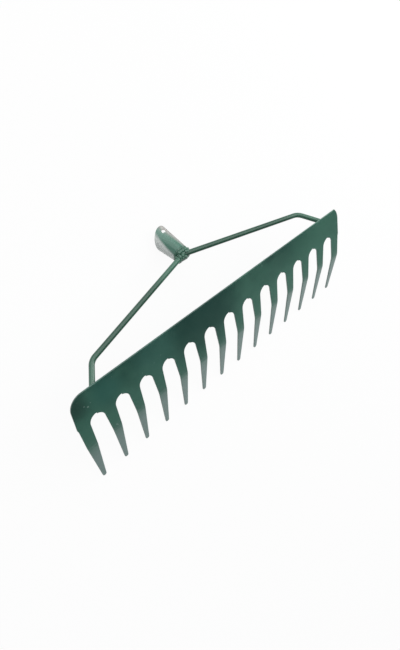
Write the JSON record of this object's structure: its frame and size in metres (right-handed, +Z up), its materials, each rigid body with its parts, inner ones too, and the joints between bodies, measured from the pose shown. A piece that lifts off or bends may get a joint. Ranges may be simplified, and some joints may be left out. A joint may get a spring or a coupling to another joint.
{
  "type": "garden rake head",
  "caption": "Steel garden rake head: a punched and bent tine comb, a bow of round rod welded to its back and a rolled, slant-cut handle socket with a screw hole",
  "frame": {"origin": "under the middle of the head's bounding box, on the floor that the tine tips and the socket's rim rest on", "axes": "+X along the comb toward its clipped corner, +Y from the tine tips toward the socket, +Z up, with the comb's front face upward"},
  "size_m": [0.3776, 0.1798, 0.0694],
  "materials": {
    "comb_paint": "semi-gloss dark green dip paint with small runs and specks",
    "rod_paint": "glossy dark green dip paint",
    "socket_paint": "semi-gloss green dip paint",
    "weld_paint": "glossy green dip paint over weld metal"
  },
  "bodies": {
    "root": {"comb": "comb_paint", "left_arm": "rod_paint", "right_arm": "rod_paint", "socket": "socket_paint", "socket_weld": "weld_paint", "left_weld": "weld_paint", "right_weld": "weld_paint"}
  },
  "joints": []
}
